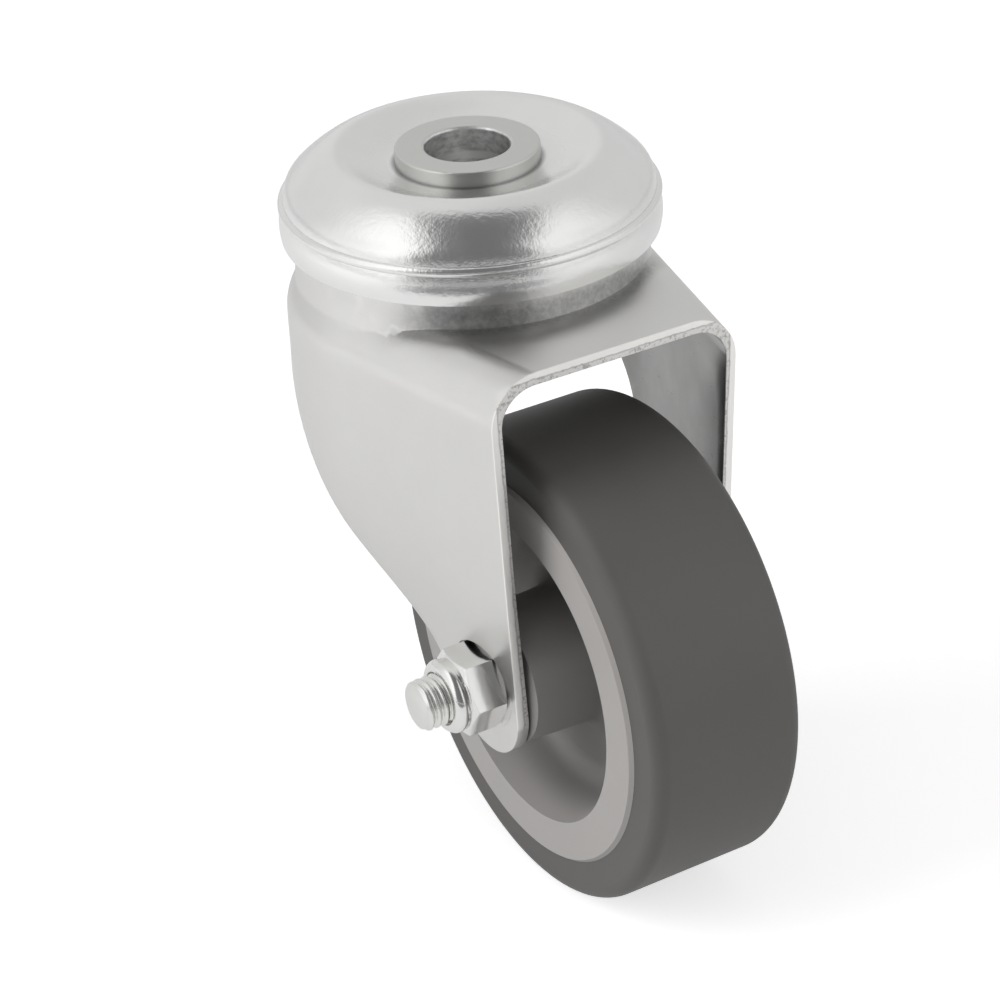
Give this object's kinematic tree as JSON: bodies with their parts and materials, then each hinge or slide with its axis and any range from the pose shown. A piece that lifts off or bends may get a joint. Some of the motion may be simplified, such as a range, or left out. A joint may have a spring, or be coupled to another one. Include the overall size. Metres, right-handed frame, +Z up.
{
  "type": "swivel caster",
  "caption": "Swivel caster with a bolt hole through its hollow rivet, a domed double ball race head, a pressed fork and a bolted wheel with a soft grey tyre.",
  "frame": {"origin": "on the swivel axis, on the top face of the hollow rivet, where the caster meets what it is bolted to", "axes": "+Z up along the swivel axis, +X toward the trailing wheel, Y along the wheel's axle with the nut at -Y"},
  "size_m": [0.0979, 0.0605, 0.1097],
  "materials": {
    "rivet_zinc": "satin zinc plating on turned steel",
    "cap_zinc": "bright zinc plating on pressed steel",
    "race_zinc": "zinc plating on pressed steel",
    "ball_steel": "polished bearing steel",
    "fork_zinc": "satin zinc plating on pressed steel",
    "bolt_zinc": "bright zinc plating",
    "nut_zinc": "bright zinc plating",
    "nylon": "natural nylon",
    "tube_zinc": "zinc plated tube",
    "wheel_plastic": "moulded polypropylene, matte",
    "tyre_tpe": "thermoplastic rubber, matte"
  },
  "bodies": {
    "head": {"kingpin_rivet": "rivet_zinc", "head_cap": "cap_zinc", "lower_race": "race_zinc"},
    "upper_ball_row": {"upper_balls": "ball_steel"},
    "lower_ball_row": {"lower_balls": "ball_steel"},
    "swivel_fork": {"fork": "fork_zinc", "axle_bolt": "bolt_zinc", "lock_nut": "nut_zinc", "nut_ring": "nylon", "axle_tube": "tube_zinc"},
    "wheel": {"wheel_centre": "wheel_plastic", "tyre": "tyre_tpe"}
  },
  "joints": [
    {"name": "swivel", "type": "hinge", "parent": "head", "child": "swivel_fork", "pos_m": [0, 0, 0], "axis": [0, 0, 1], "continuous": true},
    {"name": "upper_balls_orbit", "type": "hinge", "parent": "head", "child": "upper_ball_row", "pos_m": [0, 0, 0], "axis": [0, 0, 1], "continuous": true},
    {"name": "lower_balls_orbit", "type": "hinge", "parent": "head", "child": "lower_ball_row", "pos_m": [0, 0, 0], "axis": [0, 0, 1], "continuous": true},
    {"name": "wheel_spin", "type": "hinge", "parent": "swivel_fork", "child": "wheel", "pos_m": [0.0313, 0, -0.0722], "axis": [0, 1, 0], "continuous": true}
  ],
  "couplings": [
    {"joint": "upper_balls_orbit", "follows": "swivel", "ratio": 0.5},
    {"joint": "lower_balls_orbit", "follows": "swivel", "ratio": 0.5}
  ]
}
